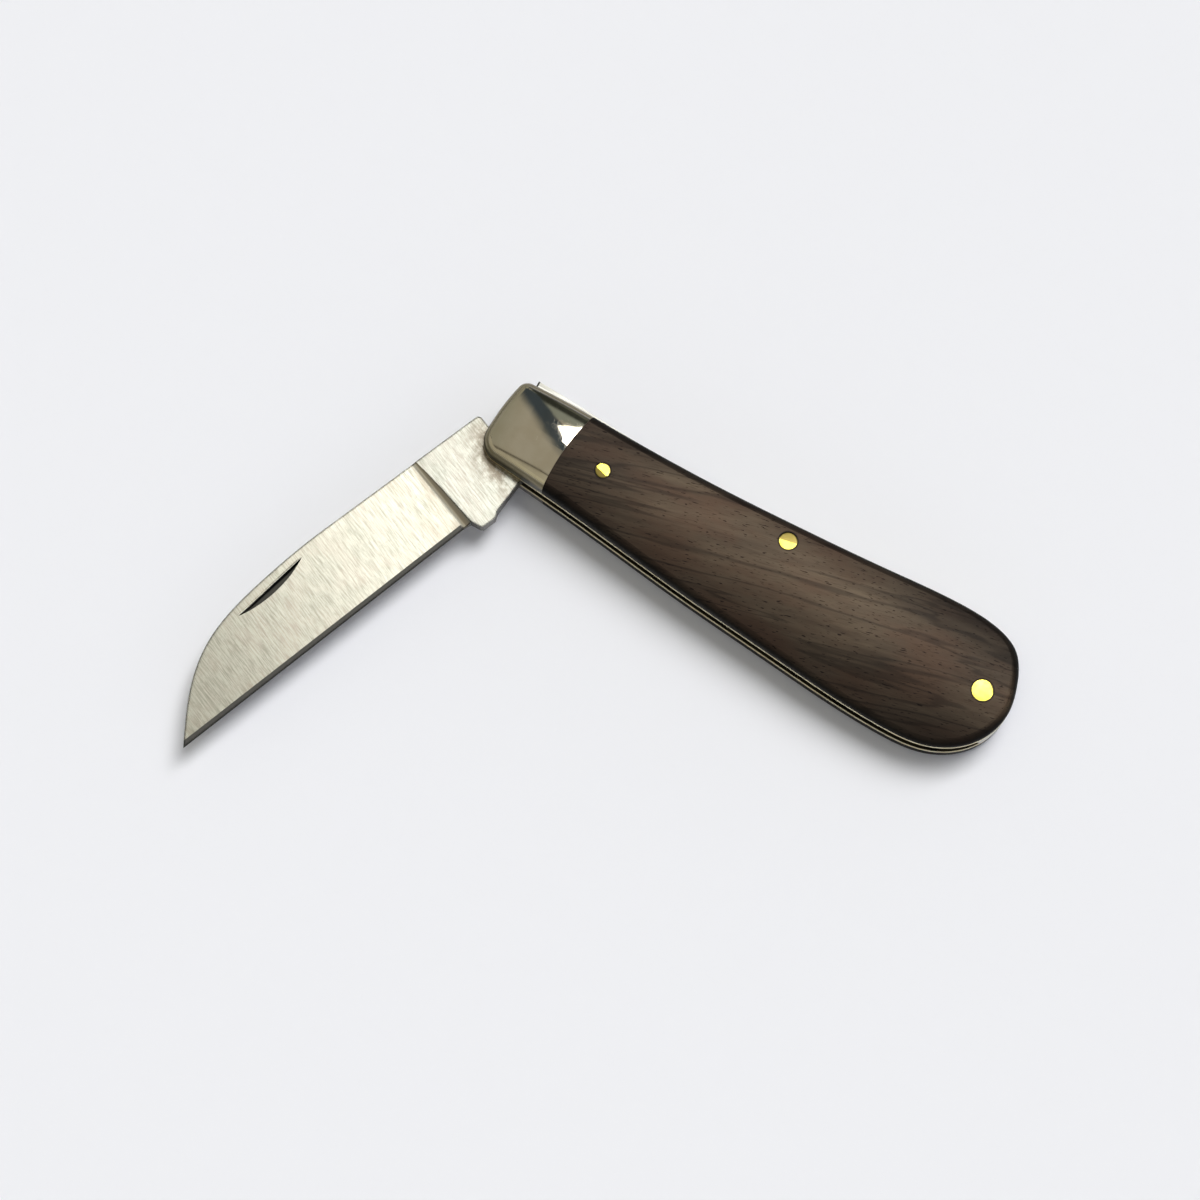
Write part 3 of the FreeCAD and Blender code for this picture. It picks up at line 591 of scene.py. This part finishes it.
def makeDarkWood():
    finish, tree, shader = newFinish("darkWood", 0.0)
    turn = wood["grainTurn"]

    # the grain
    bands = grain(tree, wood["bands"], turn, detail=4.0, roughness=0.55, distortion=0.5)
    streaks = grain(tree, wood["streaks"], turn, detail=3.0, roughness=0.6)
    rusty = grain(tree, wood["rustPatches"], turn, detail=3.0, roughness=0.55)
    fibres = grain(tree, wood["fibres"], turn)
    veins = grain(tree, wood["veins"], turn, detail=3.0, distortion=0.4)
    offVein = calc(tree, "ABSOLUTE", calc(tree, "SUBTRACT", veins, wood["veinMiddle"]))
    pit = ramp(tree, grain(tree, wood["pores"], turn, detail=0.0), *wood["poreSpan"])
    tone = mixColour(tree, ramp(tree, bands, *wood["bandSpan"]), wood["dim"], wood["light"])
    for pattern, span, share, colour in (
        (streaks, wood["streakSpan"], wood["streakShare"], wood["mid"]),
        (rusty, wood["rustSpan"], wood["rustShare"], wood["rust"]),
        (fibres, wood["fibreSpan"], wood["fibreShare"], wood["dim"]),
        (offVein, wood["veinSpan"], wood["veinShare"], wood["dark"]),
    ):
        tone = mixColour(tree, ramp(tree, pattern, *span, end=share), tone, colour)
    tone = mixColour(tree, pit, tone, wood["pore"])
    for name in pin["heads"]:
        tone = mixColour(tree, pinShadow(tree, name), tone, wood["dark"])

    # painted sheen and shade across the handle; it is also darker towards the front and the butt
    # the faces between these spans keep the painted sheen; the rest takes the painted shade
    rubbed = between(tree, facingParts(tree)["Y"], wood["sheenBelly"], wood["sheenBack"])
    tone = mixColour(tree, rubbed, darken(tree, 1.0, tone, wood["sideShade"]), tone)
    x = axisParts(tree, stretched(tree))["X"]
    level = lean(tree)
    tone = darken(tree, ramp(tree, x, *wood["frontReach"]), tone, wood["frontDark"])
    tone = darken(tree, ramp(tree, x, *wood["buttReach"]), tone, wood["buttDark"])
    # painted shade where the crown turns down, and darker still on the rounded edges
    tone = darken(tree, ramp(tree, level, *wood["shoulderLean"]), tone, wood["shoulder"])
    tone = darken(tree, ramp(tree, level, *wood["edgeLean"]), tone, wood["edge"])
    paint(tree, shader, tone, ramp(tree, fibres, *wood["roughSpan"], *wood["rough"]))
    shader.inputs["Specular IOR Level"].default_value = wood["gloss"]
    addBump(tree, shader, calc(tree, "SUBTRACT", fibres, pit), wood["grainDepth"])
    return finish


darkWood = makeDarkWood()
for name in ("mark_side_scale", "pile_side_scale"):
    dress(name, darkWood)
print("scales dressed")

# Floor

ground = {
    "reach": 15.0,
    "pale": (0.925, 0.93, 0.975, 1),
    "shade": (0.915, 0.92, 0.965, 1),
    "clouds": 3.0,
    "rough": 0.9,
    "gloss": 0.0,
}


def makeFloor():
    shape = bmesh.new()
    bmesh.ops.create_grid(shape, x_segments=1, y_segments=1, size=ground["reach"])
    mesh = bpy.data.meshes.new("floor")
    shape.to_mesh(mesh)
    shape.free()
    finish, tree, shader = newFinish("paleFloor", 0.0)
    clouds = noise(tree, stretched(tree), ground["clouds"])
    tone = mixColour(tree, clouds, ground["shade"], ground["pale"])
    tree.links.new(tone, shader.inputs["Base Color"])
    shader.inputs["Roughness"].default_value = ground["rough"]
    shader.inputs["Specular IOR Level"].default_value = ground["gloss"]
    mesh.materials.append(finish)
    floor = bpy.data.objects.new("floor", mesh)
    bpy.context.scene.collection.objects.link(floor)


# Room: it lights the object, and the polished metal shows it

room = {
    "wall": (0.30, 0.295, 0.235, 1),
    # painted in this order over the wall: a tone, how soft its edges are, and its sides as inward
    # directions, each with how far along it the side stands, and its own softness if it has one
    "patches": [
        ((0.38, 0.36, 0.30, 1), 0.060, [((1, 0), -0.40)]),
        ((0.11, 0.10, 0.08, 1), 0.008, [((0, -1), -0.012), ((-1, 0), 0.05)]),
        ((0.40, 0.38, 0.30, 1), 0.010, [((0, -1), 0.006)]),
        ((0.47, 0.45, 0.34, 1), 0.060, [((1, 0), -0.35), ((0, -1), 0.066)]),
        ((0.256, 0.28, 0.25, 1), 0.012, [((1, 0), -0.365), ((0, 1), 0.43)]),
        ((0.033, 0.036, 0.03, 1), 0.012, [((1, 0), -0.36), ((0, 1), 0.49)]),
        ((0.10, 0.105, 0.085, 1), 0.060, [((1, 0), -0.24), ((0, 1), 0.56)]),
        ((0.05, 0.065, 0.08, 1), 0.010, [
            ((0.751, 0.66), 0.000, 0.035),
            ((0, 1), 0.16),
            ((-0.618, -0.786), -0.19),
            ((-1, 0), 0),
        ]),
    ],
    "cool": (0.19, 0.20, 0.235, 1),        # right of the window, and round the horizon
    "coolFrom": (-0.10, 0.05),
    "horizonFrom": (0.60, 0.40),
    "leftEnds": (-0.45, -0.25),            # the wall on the left goes down to the skirt
    "skirt": (0.53, 0.54, 0.565, 1),       # paler all round above the floor
    "leftSkirt": (0.35, 0.345, 0.29, 1),
    "skirtFrom": (0.72, 0.48),
    "backFrom": (0.30, 0.50),              # at the back the skirt is lower
    "backDrop": 0.28,
    "window": (1.0, 1.0, 0.985, 1),
    "windowLevel": 9.95,
    # two panes: how soft their edges are, and their sides as above
    "panes": [
        (0.006, [
            ((0.873, 0.487), -0.0092),
            ((0.316, 0.949), 0.196),
            ((0.677, -0.736), -0.439),
            ((-1, 0), -0.2),
        ]),
        (0.10, [
            ((1, 0), 0.0),
            ((0.316, 0.949), 0.25),
            ((-1, 0), -0.32),
            ((0, -1), -0.68),
        ]),
    ],
}


def insideOf(tree, direction, soft, sides):
    masks = []
    for inward, stand, *own in sides:
        reach = vectorCalc(tree, "DOT_PRODUCT", direction, (*inward, 0))
        fade = own[0] if own else soft
        masks.append(ramp(tree, reach, stand - fade, stand + fade))
    return allOf(tree, masks)


def makeRoom():
    world = bpy.data.worlds.new("room")
    world.use_nodes = True
    tree = world.node_tree
    direction = addNode(tree, "ShaderNodeTexCoord").outputs["Generated"]
    x, y, z = axisParts(tree, direction)
    tone = room["wall"]
    for patch, soft, sides in room["patches"]:
        tone = mixColour(tree, insideOf(tree, direction, soft, sides), tone, patch)
    tone = mixColour(tree, ramp(tree, x, *room["coolFrom"]), tone, room["cool"])
    offLeft = ramp(tree, x, *room["leftEnds"])
    low = calc(tree, "MULTIPLY", ramp(tree, z, *room["horizonFrom"]), offLeft)
    tone = mixColour(tree, low, tone, room["cool"])
    skirt = mixColour(tree, offLeft, room["leftSkirt"], room["skirt"])
    height = calc(tree, "ADD", z, ramp(tree, y, *room["backFrom"], end=room["backDrop"]))
    tone = mixColour(tree, ramp(tree, height, *room["skirtFrom"]), tone, skirt)
    lower, upper = [insideOf(tree, direction, soft, sides) for soft, sides in room["panes"]]
    inWindow = calc(tree, "MAXIMUM", lower, upper)
    tone = mixColour(tree, inWindow, tone, room["window"])
    inputs = {"Value": inWindow, "To Min": 1.0, "To Max": room["windowLevel"]}
    strength = addNode(tree, "ShaderNodeMapRange", inputs).outputs["Result"]
    light = tree.nodes["Background"]
    tree.links.new(tone, light.inputs["Color"])
    tree.links.new(strength, light.inputs["Strength"])
    bpy.context.scene.world = world


# Camera

photoView = {
    "azimuth": math.radians(29),
    "elevation": math.radians(77),
    "depth": 480 * mm,                     # from the lens to the pivot, along the view
    "frame": 1200,                         # pixels across the photograph
    "focal": 3160.9,                       # in those pixels
    "pivotSeenAt": (528.1, 443.9),
    "sensor": 36.0,
    "nearest": 10 * mm,
}


def makeCamera():
    turn, rise = photoView["azimuth"], photoView["elevation"]
    back = Vector((math.sin(turn) * math.cos(rise), -math.cos(turn) * math.cos(rise), math.sin(rise)))
    right = Vector((math.cos(turn), math.sin(turn), 0))
    up = back.cross(right)
    pixel = photoView["depth"] / photoView["focal"]
    acrossPixels = photoView["pivotSeenAt"][0] - photoView["frame"] / 2
    downPixels = photoView["pivotSeenAt"][1] - photoView["frame"] / 2
    place = pivot + back * photoView["depth"] - right * acrossPixels * pixel + up * downPixels * pixel
    lens = bpy.data.cameras.new("photoView")
    lens.sensor_width = photoView["sensor"]
    lens.lens = photoView["sensor"] * photoView["focal"] / photoView["frame"]
    lens.clip_start = photoView["nearest"]
    camera = bpy.data.objects.new("photoView", lens)
    camera.matrix_world = Matrix.Translation(place) @ Matrix((right, up, back)).transposed().to_4x4()
    bpy.context.scene.collection.objects.link(camera)
    bpy.context.scene.camera = camera


makeFloor()
makeRoom()
makeCamera()
bpy.context.scene.view_settings.view_transform = "Standard"
print("floor, light and camera set")
